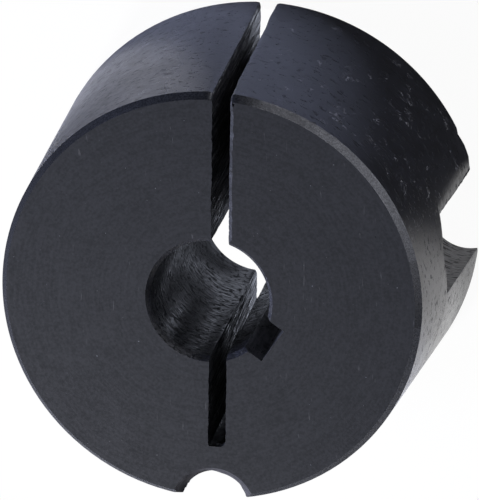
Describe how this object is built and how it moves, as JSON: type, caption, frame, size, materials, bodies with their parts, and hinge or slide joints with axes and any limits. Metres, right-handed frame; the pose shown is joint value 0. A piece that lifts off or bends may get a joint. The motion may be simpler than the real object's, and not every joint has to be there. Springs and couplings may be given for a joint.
{
  "type": "taper lock bushing",
  "caption": "Split conical iron bushing with a keyed bore, saw cuts and half-round screw holes at its rim, for clamping a hub on a shaft.",
  "frame": {"origin": "on the bore axis, in the plane of the large end, which the bushing stands on", "axes": "+Z along the bore to the small end, +Y towards the side that is sawn through, +X towards the first insertion half-hole"},
  "size_m": [0.035, 0.035, 0.0223],
  "materials": {
    "blackened_iron": "turned and chemically blackened, matte on the end faces with a slight sheen on the taper"
  },
  "bodies": {
    "root": {"taper_bush": "blackened_iron"}
  },
  "joints": []
}
